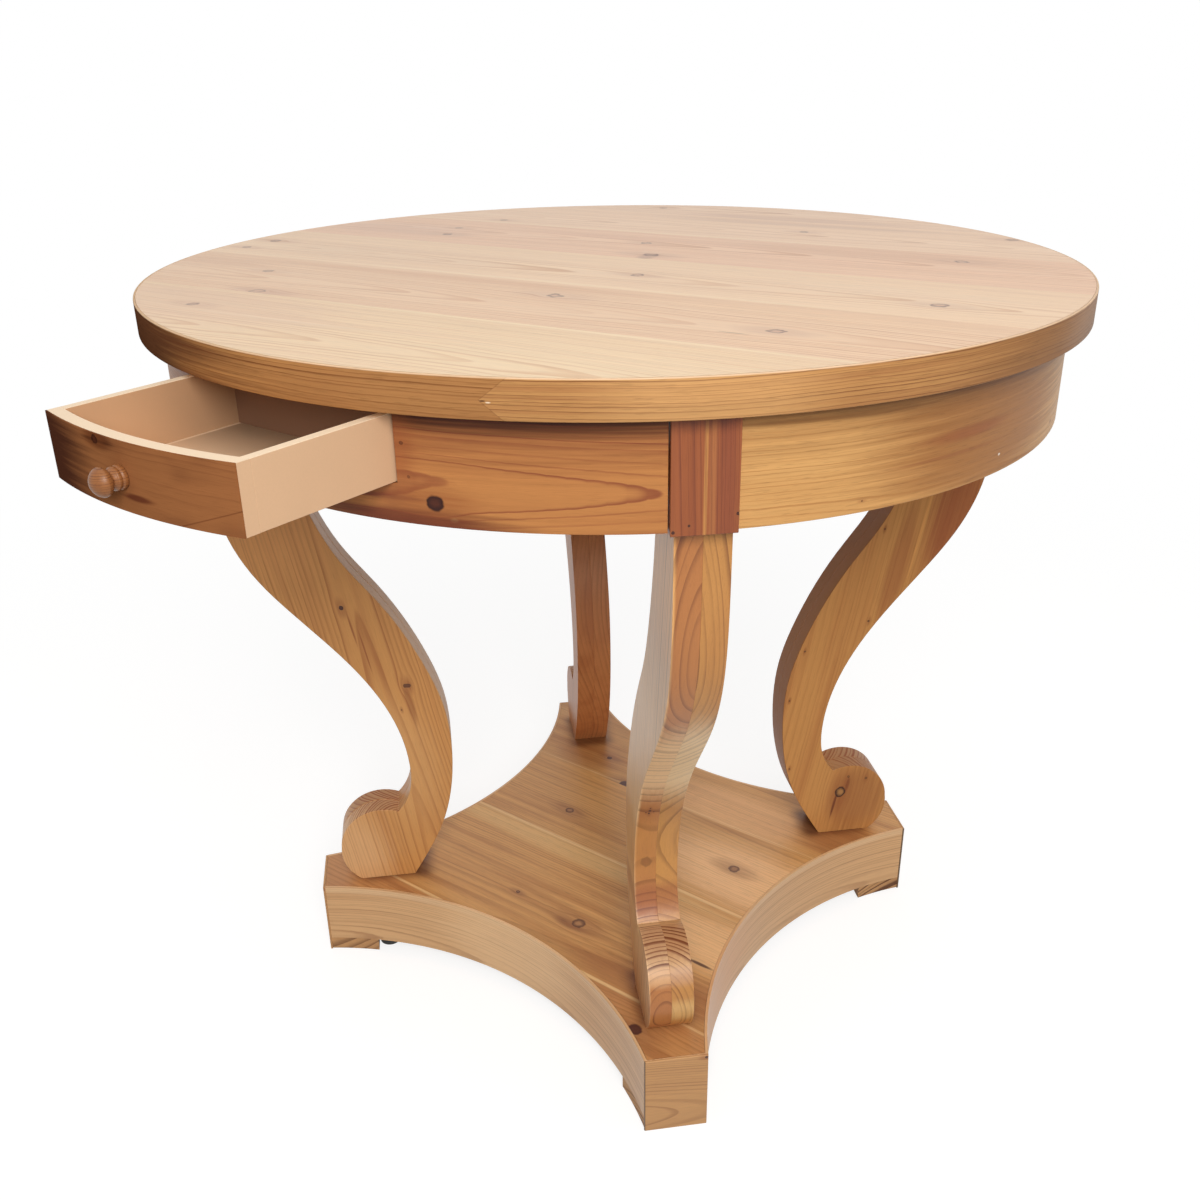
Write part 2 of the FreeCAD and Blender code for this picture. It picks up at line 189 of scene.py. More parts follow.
# How a board looks, unless its own dictionary says otherwise. Lengths are in mm. The heart is
# where the middle of the tree lies, across and deep; line is the dark share of a ring.
# A knot is (along, across, size, pale inside, share). A zone is a place with another tone:
# (along, across, half length, half width, tone, share), and may add depth, half thickness.
# Extra is a function that adds to the colour, and ease, in a piece's own dictionary, says how
# wide its edges are rounded.
pine = {
    "early": (214, 160, 104), "late": (176, 112, 64), "ring": 5.0, "line": 0.4,
    "heart": (-14.0, -60.0), "taper": 0.06, "drift": 0.0, "wave": 7.0, "strength": 0.7,
    "patch": (196, 134, 88), "patchShare": 0.4, "patchSize": (260, 26, 60), "streak": 0.1,
    "fibre": 0.1, "dash": 0.1, "knots": [], "zones": [], "knotColour": (50, 24, 20),
    "knotHeart": (98, 52, 36), "haloColour": (150, 88, 50), "ragged": 0.5, "ends": 0.0,
    "endTone": None, "fray": 0.6, "rough": 0.42, "coat": 0.15, "gloss": 0.4, "bump": 0.12,
    "seed": 0.0, "extra": None,
}
# What all boards share. Three numbers are the size of one blotch, and two say where a change
# begins and ends.
figure = {
    "wave": (180, 70, 70), "wobble": (34, 9, 9), "wobbleShare": 0.28, "uneven": 1.6,
    "unevenPace": 0.4, "darken": 0.92, "lighten": (0.94, 1.0), "slope": 0.1, "ownDark": 0.75,
    "fade": 0.7, "fadeAlong": 0.012, "fadeRings": 0.31, "patch": (0.42, 0.72),
    "streak": (140, 3.5, 3.5), "fibre": (18, 0.5, 0.5), "dash": (15, 0.8, 0.8),
    "dashes": (0.56, 0.76), "onEnd": (0.5, 0.85), "endShare": 0.75, "endDull": 0.85,
    "zone": (0.35, 1.0), "zoneLate": 0.5, "lateRelief": 0.6, "dashRelief": 0.5, "relief": 0.4 * mm,
    "fibreRough": 0.16, "lateRough": 0.06, "coatRough": 0.3,
}
# Every knot: how far it bends the grain, and where its rim, its inside and its halo lie.
knotShape = {
    "bend": 1.9, "bendLong": 0.3, "bendWide": 1.2, "slim": 0.8, "rim": (0.78, 1.08),
    "inside": (0.25, 0.85), "paleInside": 0.95, "darkInside": 0.5, "haloSlim": 0.16,
    "halo": (0.8, 2.8), "haloShare": 0.5, "haloStreak": 1.4, "ragged": (1.0, 0.7), "deep": 20,
}


def growKnots(sheet, place, along, across, wood):            # the grain bends round each knot
    bent = across
    core = inner = halo = None
    for knotAlong, knotAcross, size, pale, share in wood["knots"]:
        offAlong = along - knotAlong
        offAcross = across - knotAcross
        alongSquare = offAlong * offAlong
        acrossSquare = offAcross * offAcross
        near = alongSquare * knotShape["bendLong"] + acrossSquare
        near = near + size * size * knotShape["bendWide"]
        bent = bent - offAcross / near * (size * size * knotShape["bend"])
        long, wide = knotShape["ragged"]
        blotch = (size * long, size * wide, knotShape["deep"])
        ragged = sheet.noise(place, blotch, wood["seed"] + knotAlong, 1.0) - 0.5
        reach = (alongSquare * knotShape["slim"] + acrossSquare).math("SQRT") / size
        reach = reach + ragged * wood["ragged"]
        spot = (1 - sheet.smooth(reach, *knotShape["rim"])) * share
        inside = knotShape["paleInside"] if pale else knotShape["darkInside"]
        centre = (1 - sheet.smooth(reach, *knotShape["inside"])) * inside
        reach = (alongSquare * knotShape["haloSlim"] + acrossSquare).math("SQRT") / size
        glow = (1 - sheet.smooth(reach, *knotShape["halo"])) * share
        core = spot if core is None else core.math("MAXIMUM", spot)
        inner = centre if inner is None else inner.math("MAXIMUM", centre)
        halo = glow if halo is None else halo.math("MAXIMUM", glow)
    return bent, core, inner, halo


def growRings(sheet, place, along, bent, deep, wood):        # how much dark late wood there is
    seed = wood["seed"]
    heartAcross, heartDeep = wood["heart"]
    wave = sheet.noise(place, figure["wave"], seed, 1.0) - 0.5
    wobble = sheet.noise(place, figure["wobble"], seed + 2, 1.0) - 0.5
    sideways = bent - heartAcross - along * wood["drift"] + wave * (2 * wood["wave"])
    sideways = sideways + wobble * (figure["wobbleShare"] * wood["wave"])
    below = deep - heartDeep + along * wood["taper"]
    rings = span(sideways, below) / wood["ring"]
    rings = rings + sheet.wander(rings * figure["unevenPace"], seed) * figure["uneven"]
    part = rings.math("FRACT")
    late = sheet.smooth(part, 1 - wood["line"], figure["darken"])
    late = late * (1 - sheet.smooth(part, *figure["lighten"]))
    late = late * (1 - figure["slope"]) + part * figure["slope"]
    sockets = {"W": rings.math("FLOOR") + seed}
    own = sheet.node("ShaderNodeTexWhiteNoise", {"noise_dimensions": "1D"}, sockets)
    pace = along * figure["fadeAlong"] + rings * figure["fadeRings"]
    fade = sheet.wander(pace, seed + 40)
    return late * (own * figure["ownDark"] + fade * figure["fade"]) * wood["strength"]


def tintZones(sheet, colour, places, late, streak, wood):
    along, across, deep = places
    for zoneAlong, zoneAcross, halfAlong, halfAcross, tone, share, *depth in wood["zones"]:
        offAlong = (along - zoneAlong) / halfAlong
        offAcross = (across - zoneAcross) / halfAcross
        reach = offAlong * offAlong + offAcross * offAcross
        if depth:
            offDeep = (deep - depth[0]) / depth[1]
            reach = reach + offDeep * offDeep
        reach = reach.math("SQRT") + streak * wood["fray"]
        toned = sheet.mix(late * figure["zoneLate"], linear(tone), linear(wood["late"]))
        colour = sheet.mix((1 - sheet.smooth(reach, *figure["zone"])) * share, colour, toned)
    return colour


def growWood(name, grain, wood):
    wood = {**pine, **wood}
    seed = wood["seed"]
    sheet = Sheet(name)
    place = grain(sheet)
    along, across, deep = sheet.split(place)
    bent, core, inner, halo = growKnots(sheet, place, along, across, wood)
    late = growRings(sheet, place, along, bent, deep, wood)
    patch = sheet.smooth(sheet.noise(place, wood["patchSize"], seed + 5), *figure["patch"])
    patch = patch * wood["patchShare"]
    streak = sheet.noise(place, figure["streak"], seed + 9) - 0.5
    fibre = sheet.noise(place, figure["fibre"], seed + 13, 1.0) - 0.5
    dash = sheet.smooth(sheet.noise(place, figure["dash"], seed + 21, 1.0), *figure["dashes"])
    colour = sheet.mix(patch, linear(wood["early"]), linear(wood["patch"]))
    coat = wood["coat"](sheet, along) if callable(wood["coat"]) else wood["coat"]
    if wood["ends"]:                             # end grain shows its rings more
        upwards = sheet.split(sheet.node("ShaderNodeNewGeometry", out="Normal"))[2]
        onEnd = sheet.smooth(upwards, *figure["onEnd"])
        late = late * (onEnd * wood["ends"] + 1)
        if wood["endTone"]:
            colour = sheet.mix(onEnd * figure["endShare"], colour, linear(wood["endTone"]))
            coat = (1 - onEnd * figure["endDull"]) * coat
    colour = sheet.mix(late, colour, linear(wood["late"]))
    colour = tintZones(sheet, colour, (along, across, deep), late, streak, wood)
    if core is not None:
        halo = halo * (streak * knotShape["haloStreak"] + knotShape["haloShare"])
        colour = sheet.mix(halo, colour, linear(wood["haloColour"]))
        knot = sheet.mix(inner, linear(wood["knotColour"]), linear(wood["knotHeart"]))
        colour = sheet.mix(core, colour, knot)
    if wood["extra"]:
        colour = wood["extra"](sheet, colour, along, across)
    shade = 1 + streak * (2 * wood["streak"]) + fibre * (2 * wood["fibre"]) - dash * wood["dash"]
    relief = fibre + late * figure["lateRelief"] - dash * figure["dashRelief"]
    rough = fibre * figure["fibreRough"] + late * figure["lateRough"] + wood["rough"]
    return sheet.finish({
        "Base Color": sheet.scaled(colour, shade), "Roughness": rough,
        "Normal": sheet.bump(wood["bump"], figure["relief"], relief), "Coat Weight": coat,
        "Coat Roughness": figure["coatRough"], "Specular IOR Level": wood["gloss"],
    })


def dress(piece, material):
    piece.data.materials.clear()
    piece.data.materials.append(material)


edges = {"weld": 0.02 * mm, "flat": 0.3, "sharp": 35.0, "segments": 2}       # flat, sharp: degrees


def easeEdges(piece, width):                     # rounds the sharp edges by a width in mm
    weld = piece.modifiers.new("weld", "WELD")
    weld.merge_threshold = edges["weld"]
    flatten = piece.modifiers.new("flatten", "DECIMATE")
    flatten.decimate_type = "DISSOLVE"
    flatten.angle_limit = math.radians(edges["flat"])
    ease = piece.modifiers.new("ease", "BEVEL")
    ease.width = width * mm
    ease.segments = edges["segments"]
    ease.limit_method = "ANGLE"
    ease.angle_limit = math.radians(edges["sharp"])
    ease.harden_normals = False
    even = piece.modifiers.new("even", "WEIGHTED_NORMAL")
    even.keep_sharp = False
    for face in piece.data.polygons:
        face.use_smooth = True


def finishBoard(name, grain, wood):              # gives a board its figure, and eases its edges
    dress(nodes[name], growWood(name, grain, wood))
    if "ease" in wood:
        easeEdges(nodes[name], wood["ease"])


def ride(piece, material, body, replaced):             # a finer piece for a plain one
    dress(piece, material)
    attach(piece, body)
    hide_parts(*replaced)


def lathe(name, profile, steps, axis="Z"):       # profile is (radius, height) in metres
    mesh = bpy.data.meshes.new(name)
    shape = bmesh.new()
    rings = []
    for step in range(steps):
        angle = 2 * math.pi * step / steps
        c, s = math.cos(angle), math.sin(angle)
        if axis == "Z":
            rings.append([shape.verts.new((r * c, r * s, h)) for r, h in profile])
        else:
            rings.append([shape.verts.new((r * c, -h, r * s)) for r, h in profile])
    for near, far in zip(rings, rings[1:] + rings[:1]):
        for i in range(len(profile)):
            j = (i + 1) % len(profile)
            shape.faces.new((near[i], near[j], far[j], far[i]))
    bmesh.ops.remove_doubles(shape, verts=shape.verts, dist=1e-6)
    bmesh.ops.dissolve_degenerate(shape, dist=1e-7, edges=shape.edges)
    bmesh.ops.recalc_face_normals(shape, faces=shape.faces)
    for face in shape.faces:
        face.smooth = True
    shape.to_mesh(mesh)
    shape.free()
    piece = bpy.data.objects.new(name, mesh)
    bpy.context.scene.collection.objects.link(piece)
    return piece


# The top: six boards that run a little off square, each with its own tone and knots.
topTurn = 6.5
top = {
    "ring": 2.3, "line": 0.5, "taper": 0.018, "wave": 8, "strength": 1.0, "streak": 0.1,
    "fibre": 0.06, "dash": 0.12, "rough": 0.4, "coat": 0.05, "bump": 0.05,
    "knotColour": (122, 88, 74), "patchShare": 0.3, "ragged": 1.1, "knotHeart": (206, 168, 140),
    "haloColour": (204, 162, 134), "patchSize": (380, 22, 60),
}
creamSeam = (250, 226, 190)
topBoards = {
    "top_board_1": {
        "early": (238, 207, 167), "late": (214, 170, 130), "patch": (228, 188, 156), "seed": 1.3,
        "heart": (-395, 730), "knots": [(-223, -337, 6, False, 0.7)],
        "zones": [
            (-250, -340, 260, 90, (226, 186, 156), 0.5),
            (200, -380, 220, 90, (240, 214, 174), 0.43), (150, -279, 420, 5, creamSeam, 0.58),
            (-120, -352, 130, 3.5, (244, 214, 184), 0.5),
        ],
    },
    "top_board_2": {
        "early": (236, 200, 164), "late": (210, 160, 122), "patch": (224, 178, 138), "seed": 4.1,
        "heart": (-215, 735),
        "knots": [
            (38, -169, 8, True, 0.75), (263, -214, 7, True, 0.9), (-281, -186, 5.5, False, 0.6),
            (-215, -268, 7, True, 0.6),
        ],
        "zones": [
            (-100, -140, 330, 15, (218, 170, 132), 0.5),
            (-380, -165, 120, 34, (212, 166, 132), 0.36),
            (260, -150, 200, 30, (238, 200, 160), 0.36),
            (-205, -266, 60, 14, (200, 156, 130), 0.43), (236, -233, 18, 1.6, (132, 104, 78), 0.65),
        ],
    },
    "top_board_3": {
        "early": (242, 208, 171), "late": (218, 174, 136), "patch": (228, 190, 158), "seed": 7.7,
        "heart": (-60, 740),
        "knots": [
            (55, -50, 6, True, 0.8), (344, -66, 7, True, 0.8), (-415, -36, 7, False, 0.7),
            (-412, -84, 5, False, 0.7),
        ],
        "zones": [
            (-260, -60, 220, 60, (224, 190, 158), 0.36), (0, -115, 460, 5, creamSeam, 0.43),
            (300, -40, 160, 50, (240, 210, 176), 0.36),
        ],
    },
    "top_board_4": {
        "early": (240, 199, 165), "late": (214, 165, 130), "patch": (230, 181, 148), "seed": 11.2,
        "heart": (120, 738),
        "knots": [
            (12, 57, 8, False, 0.9), (-29, 124, 5.5, True, 0.8), (304, 149, 6.5, True, 0.8),
            (-267, 86, 6, False, 0.8), (-285, 133, 4.5, False, 0.7),
        ],
        "zones": [
            (230, 150, 240, 46, (216, 170, 136), 0.5), (-340, 100, 150, 60, (214, 176, 152), 0.43),
            (-60, 150, 160, 24, (218, 172, 142), 0.36), (14, 46, 14, 22, (150, 120, 104), 0.58),
        ],
    },
    "top_board_5": {
        "early": (243, 207, 173), "late": (216, 174, 140), "patch": (234, 194, 160), "seed": 15.9,
        "heart": (250, 742),
        "knots": [(94, 270, 5, False, 0.8), (-275, 212, 5, False, 0.7), (315, 307, 7, False, 0.7)],
        "zones": [(-60, 194, 420, 5, creamSeam, 0.36), (60, 322, 260, 24, (204, 166, 140), 0.43)],
    },
    "top_board_6": {
        "early": (241, 205, 172), "late": (212, 170, 138), "patch": (226, 184, 154), "seed": 19.4,
        "heart": (400, 735), "knots": [(349, 283, 6, False, 0.7), (-148, 394, 5, False, 0.7)],
        "zones": [(40, 356, 200, 28, (206, 166, 140), 0.5)],
    },
}
for name, board in topBoards.items():
    finishBoard(name, lambda sheet: flatGrain(sheet, topTurn), {**top, **board})
print("top boards dressed")

# The band round the top: one long strip whose ends meet in a shallow V.
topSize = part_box("top_edge_band")
band = {
    "radius": 0.4499, "inner": 0.44785, "low": topSize[0].z, "high": topSize[1].z, "ease": 0.9 * mm,
    "steps": 288, "bend": 450, "jointTurn": -65.5, "tipHeight": 770, "slant": 1.25,
    "jointLine": (0.1, 0.8), "jointTone": (96, 60, 36), "jointShare": 0.3,
    "paleEdge": (784.7, 785.6), "paleTone": (232, 198, 162), "paleShare": 0.9,
    "wood": {
        "early": (191, 140, 86), "late": (124, 78, 46), "patch": (167, 114, 70), "ring": 2.2,
        "line": 0.35, "heart": (745, 425), "taper": 0.004, "wave": 4, "strength": 1.0,
        "patchShare": 0.6, "patchSize": (420, 4, 30), "seed": 23.0, "streak": 0.12, "fibre": 0.1,
        "dash": 0.18, "rough": 0.5,
        "coat": lambda sheet, along: along.math("LESS_THAN", 0.0) * 0.36, "gloss": 0.0,
        "bump": 0.15,
        # Of the zones, -1255 is painted light where the band faces the lamp, 945 and -880 are
        # painted shade where it turns away, and -825 is a painted sheen near the right end.
        "zones": [
            (1413, 770, 260, 60, (166, 115, 73), 0.5), (-1255, 771, 110, 40, (216, 166, 110), 0.6),
            (945, 770, 330, 60, (106, 65, 44), 0.95), (-880, 770, 230, 60, (147, 98, 52), 0.7),
            (-825, 770, 110, 60, (184, 146, 116), 0.5), (-1411, 769.6, 3.0, 0.9, (70, 40, 30), 0.9),
            (-1407, 768.6, 2.4, 0.7, (250, 232, 206), 0.8),
        ],
    },
}


def bandGrain(sheet):
    x, y, z = turnedPlace(sheet, band["jointTurn"] + 180)
    halfWay = math.pi * band["bend"]
    along = y.math("ARCTAN2", x) * band["bend"]
    edge = (z - band["tipHeight"]).math("ABSOLUTE") * band["slant"] - halfWay
    sheet.joint = along - edge
    along = along + along.math("LESS_THAN", edge) * (2 * halfWay)
    return sheet.vector(along, z, span(x, y))


# The joint is a thin dark line, and the band's top edge is as pale as the boards.
def bandJoint(sheet, colour, along, across):
    line = 1 - sheet.smooth(sheet.joint.math("ABSOLUTE"), *band["jointLine"])
    colour = sheet.mix(line * band["jointShare"], colour, linear(band["jointTone"]))
    pale = sheet.smooth(across, *band["paleEdge"]) * band["paleShare"]
    return sheet.mix(pale, colour, linear(band["paleTone"]))


# A thin upright strip with its outer edges rounded.
def roundedStrip(inner, outer, low, high, ease):
    quarter = [math.radians(angle) for angle in (0, 30, 60, 90)]
    middle = outer - ease
    bottom = [(middle + ease * math.sin(a), low + ease - ease * math.cos(a)) for a in quarter]
    brim = [(middle + ease * math.cos(a), high - ease + ease * math.sin(a)) for a in quarter]
    return [(inner, low), *bottom, *brim, (inner, high)]


stripShape = roundedStrip(band["inner"], band["radius"], band["low"], band["high"], band["ease"])
edgeBand = lathe("edge_band", stripShape, band["steps"])
bandWood = growWood("edge_band", bandGrain, {**band["wood"], "extra": bandJoint})
ride(edgeBand, bandWood, "table", ["top_edge_band"])
print("edge band made")

# The apron: bent veneered panels, redder in front, honey yellow on the right.
apron = {"bend": 430, "ease": 0.5}
aprons = {
    "apron_front": {
        "turn": -90, "early": (190, 129, 75), "late": (132, 68, 46), "patch": (172, 109, 64),
        "seed": 31.0, "ring": 2.3, "line": 0.3, "heart": (698, 372), "taper": 0.016, "wave": 3.5,
        "strength": 0.8, "gloss": 0.2, "coat": 0.0,
        "knots": [
            (139.6, 686, 6.6, False, 1), (116, 729, 1.6, False, 0.6), (120, 704, 1.3, False, 0.5),
        ],
        # The two long zones along the top edge, at 765 and 762, paint the shadow under the top's
        # overhang.
        "zones": [
            (154, 674, 4, 2.5, (232, 188, 122), 0.9), (100, 687, 46, 3, (104, 50, 40), 0.5),
            (115, 669, 115, 16, (98, 42, 30), 0.9), (100, 765, 900, 62, (118, 60, 40), 0.5),
            (100, 762, 900, 27, (52, 16, 14), 0.95), (104, 716, 30, 60, (146, 84, 52), 0.55),
        ],
    },
    "apron_right": {
        "turn": 0, "early": (216, 166, 105), "late": (166, 112, 62), "patch": (200, 145, 86),
        "seed": 36.0, "gloss": 0.25, "coat": 0.0, "ring": 3.0, "line": 0.35, "heart": (655, 390),
        "taper": 0.02, "wave": 5, "strength": 0.6, "dash": 0.18,
        "knots": [(-217, 677, 0.9, False, 0.6), (60, 680, 1.2, False, 0.7)],
        # The broad dark zone at -80 along is painted shade where the side turns from the lamp, and
        # the long zones at 765 and 763 paint the shadow under the top's overhang.
        "zones": [
            (-80, 710, 170, 90, (156, 100, 50), 0.8), (-110, 712, 70, 7, (148, 84, 46), 0.7),
            (-130, 697, 90, 2.2, (150, 92, 52), 0.6), (-220, 744, 110, 4, (140, 96, 54), 0.6),
            (0, 765, 900, 62, (134, 88, 46), 0.4), (0, 763, 900, 26, (90, 52, 28), 0.7),
            (-63.8, 683, 2.4, 1.5, (255, 250, 240), 1.0),
        ],
    },
    "apron_back": {
        "turn": 90, "early": (200, 148, 84), "late": (150, 98, 52), "patch": (182, 126, 68),
        "seed": 41.0, "ring": 3.0, "line": 0.4, "heart": (690, 380), "taper": 0.02, "wave": 6,
        "strength": 0.8, "knots": [(120, 700, 5, False, 1), (-160, 724, 4, True, 1)],
    },
    "apron_left": {
        "turn": 180, "early": (192, 132, 74), "late": (124, 68, 40), "patch": (174, 110, 60),
        "seed": 46.0, "ring": 2.8, "line": 0.35, "heart": (720, 370), "taper": -0.03, "wave": 5,
        "strength": 0.9, "knots": [(-60, 690, 6, False, 1), (150, 730, 3, False, 1)],
    },
}
for name, panel in aprons.items():
    grain = lambda sheet: bentGrain(sheet, panel["turn"], apron["bend"])
    finishBoard(name, grain, {**apron, **panel})
print("apron dressed")

# Upright blocks over the legs. The one in front has its own sapwood and knots.
legTurns = {"front_right": -45, "back_right": 45, "back_left": 135, "front_left": 225}
pilaster = {
    "early": (154, 87, 51), "late": (100, 48, 36), "patch": (134, 70, 44), "ring": 2.4,
    "gloss": 0.3, "line": 0.4, "heart": (-40, 395), "taper": 0.01, "wave": 1.5, "strength": 0.6,
    "streak": 0.12, "fibre": 0.1, "patchSize": (300, 6, 30), "ease": 0.7,
}
frontPilaster = {
    "knots": [(681, 21, 1.3, False, 1), (669.5, -26, 1.3, False, 1), (674, -14.5, 1.0, False, 1)],
    # The last zone, at 762 along, is the painted shadow under the top.
    "zones": [
        (711, -3.0, 300, 1.8, (198, 138, 78), 0.8), (711, 2.2, 300, 4.0, (170, 108, 64), 0.7),
        (711, 13, 300, 9, (128, 66, 46), 0.5), (762, 0, 22, 60, (92, 46, 36), 0.6),
    ],
}
for seed, (corner, turn) in enumerate(legTurns.items()):
    paleStreak = (711, -6 - 3 * seed, 80, 4, (218, 154, 90), 0.7)
    spots = frontPilaster if corner == "front_right" else {"zones": [paleStreak]}
    look = {**pilaster, **spots, "seed": 50.0 + 2.3 * seed}
    finishBoard("pilaster_" + corner, lambda sheet: uprightGrain(sheet, turn), look)

# The legs: two boards glued side by side, the grain leaning with the leg. Their figure shows
# on the side, or, with fromSide off, on the front.
leg = {
    "early": (208, 150, 88), "late": (152, 86, 46), "patch": (176, 112, 64), "ring": 4.6,
    "gloss": 0.3, "line": 0.6, "heart": (204, 62), "taper": -0.02, "wave": 3, "strength": 0.4,
    "patchSize": (340, 9, 26), "streak": 0.06, "patchShare": 0.5, "fibre": 0.07, "ends": 3.0,
    "endTone": (178, 132, 88), "coat": 0.15, "ease": 1.1, "lean": 11, "inwards": (0.3, 0.8),
    "fromSide": True,
}


def legGrain(sheet, turn, fromSide):
    x, y, z = turnedPlace(sheet, turn)
    lean = math.radians(leg["lean"])
    along = z * math.cos(lean) + x * math.sin(lean)
    deep = x * math.cos(lean) - z * math.sin(lean)
    return sheet.vector(along, deep, y) if fromSide else sheet.vector(along, y, deep)


def paintInnerSideLight(turn, inside, share):               # painted light on the side towards the middle: painted sheen on one leg, painted shade on another
    towards = (-math.cos(math.radians(turn)), -math.sin(math.radians(turn)), 0.0)

    def shade(sheet, colour, along, across):
        normal = sheet.node("ShaderNodeNewGeometry", out="Normal")
        facing = sheet.smooth(sheet.alike(normal, towards), *leg["inwards"])
        return sheet.mix(facing * share, colour, linear(inside))

    return shade


rusty = (150, 82, 50)
legHalves = {
    "front_right_half_a": {
        "fromSide": False, "early": (184, 120, 68), "late": (98, 46, 26), "patch": (170, 102, 58),
        "heart": (-12, 318), "drift": 0.03, "taper": 0.0, "ring": 4.3, "line": 0.45,
        "strength": 0.75, "coat": 0.4, "fray": 0.2, "ends": 0.3, "endTone": (242, 206, 158),
        "patchSize": (300, 22, 22), "patchShare": 0.4,
        "knots": [
            (360.4, -10, 1.5, False, 1), (356, -10.6, 1.2, False, 1), (364.5, -9.7, 0.8, False, 1),
            (358, -13.6, 0.7, False, 1), (358.5, -6, 0.7, False, 1), (284, -10, 6, True, 0.35),
        ],
        # The zones on the left side face at -24 across are a painted sheen, those at 300 and 458
        # along are painted light, and the thin one at 224 by the crease is a painted highlight.
        "zones": [
            (420, -24, 380, 5, (255, 214, 160), 0.9), (300, -10, 60, 60, (214, 150, 82), 0.6),
            (690, -24, 120, 5, (247, 188, 118), 0.9), (243, -10, 20, 40, rusty, 0.5),
            (458, -8, 96, 60, (255, 214, 166), 1.0),
            (224, -10, 9, 40, (246, 208, 150), 0.6, 228, 9),
            (218, -10, 12, 40, (232, 186, 138), 0.6, 281, 14),
            (190, -10, 14, 40, (180, 116, 68), 0.6, 297, 12),
        ],
    },
    "front_right_half_b": {
        "fromSide": False, "early": (197, 140, 78), "late": (108, 58, 32), "patch": (184, 122, 66),
        "heart": (-15, 322), "drift": -0.03, "taper": 0.0, "ring": 4.6, "line": 0.5,
        "strength": 0.65, "coat": 0.32, "fray": 0.2, "ends": 0.8, "endTone": (230, 190, 140),
        "patchSize": (300, 22, 22), "patchShare": 0.4,
        # The zones at 300 and 462 along are painted light, and the thin one at 224 by the crease is
        # a painted highlight.
        "zones": [
            (300, 10, 60, 60, (216, 156, 86), 0.6), (243, 10, 20, 40, rusty, 0.55),
            (462, 10, 104, 60, (255, 222, 176), 1.0),
            (224, 10, 9, 40, (240, 200, 144), 0.5, 228, 9),
            (218, 10, 12, 40, (202, 160, 132), 0.5, 281, 14),
            (186, 10, 18, 40, (228, 184, 122), 0.7, 297, 12),
        ],
    },
    # The front left leg's inner side gets a painted sheen.
    "front_left_half_a": {
        "seed": 64.0, "heart": (210, -50), "extra": paintInnerSideLight(225, (228, 190, 144), 0.7),
    },
    "front_left_half_b": {
        "knots": [
            (491.9, 208.7, 2.5, False, 1), (383, 169.5, 2.4, False, 0.8),
            (382, 165.5, 2.4, False, 0.8), (382.5, 167.5, 2.4, False, 0.8),
            (354.6, 181.3, 0.9, False, 0.8),
        ],
        "taper": -0.02, "heart": (196, 46), "strength": 0.6, "ring": 3.8, "patchShare": 0.35,
        # The wide pale zone at 640 along is painted light where the top shades the leg's upper end.
        "zones": [
            (466, 205, 30, 1.6, (140, 70, 38), 0.7), (436, 199, 34, 1.2, (146, 78, 42), 0.7),
            (180, 290, 110, 60, (228, 178, 126), 0.85), (290, 200, 110, 60, (218, 166, 108), 0.6),
            (640, 250, 130, 120, (238, 170, 104), 0.8), (360, 170, 34, 6, (150, 92, 50), 0.6),
        ],
        "extra": paintInnerSideLight(225, (228, 190, 144), 0.7),
    },
    # The back right leg's inner side gets painted shade.
    "back_right_half_a": {
        "heart": (120, -70), "early": (203, 146, 85), "late": (154, 92, 52), "taper": 0.01,
        "strength": 0.3, "patchShare": 0.4, "patchSize": (300, 14, 30),
        "knots": [
            (196.9, 237.7, 7.0, True, 1), (538.4, 198.9, 1.1, False, 1),
            (426.4, 210.7, 1.3, False, 1), (380.2, 145.3, 1.1, False, 1),
            (315.1, 142.7, 1.0, False, 1), (223.7, 165.5, 1.0, False, 1),
            (219.5, 242.5, 1.6, False, 0.8), (219.4, 265.5, 1.6, False, 0.8),
        ],
        "zones": [
            (570, 276, 120, 40, (150, 80, 50), 0.75), (500, 226, 100, 16, (158, 94, 56), 0.55),
            (540, 242, 80, 2.2, (222, 160, 92), 0.8), (190, 262, 70, 46, (162, 104, 60), 0.7),
            (180, 234, 24, 2.2, (92, 44, 28), 0.9), (209, 244, 14, 3.0, (104, 56, 36), 0.8),
        ],
        "knotHeart": (178, 128, 78), "gloss": 0.2, "coat": 0.0,
        "extra": paintInnerSideLight(45, (156, 100, 42), 0.95),
    },
    "back_right_half_b": {
        "early": (190, 130, 78), "heart": (150, 60), "gloss": 0.2, "coat": 0.0,
        "extra": paintInnerSideLight(45, (156, 100, 42), 0.95),
    },
    "back_left_half_a": {"early": (200, 134, 84), "late": (132, 76, 46), "patch": (176, 106, 62)},
    "back_left_half_b": {"early": (196, 130, 80), "late": (130, 74, 44), "patch": (172, 102, 60)},
}
for seed, (half, look) in enumerate(legHalves.items()):
    turn = legTurns[half.split("_half_")[0]]
    look = {**leg, "seed": 60.0 + 3.1 * seed, **look}
    finishBoard("leg_" + half, lambda sheet: legGrain(sheet, turn, look["fromSide"]), look)
print("legs dressed")

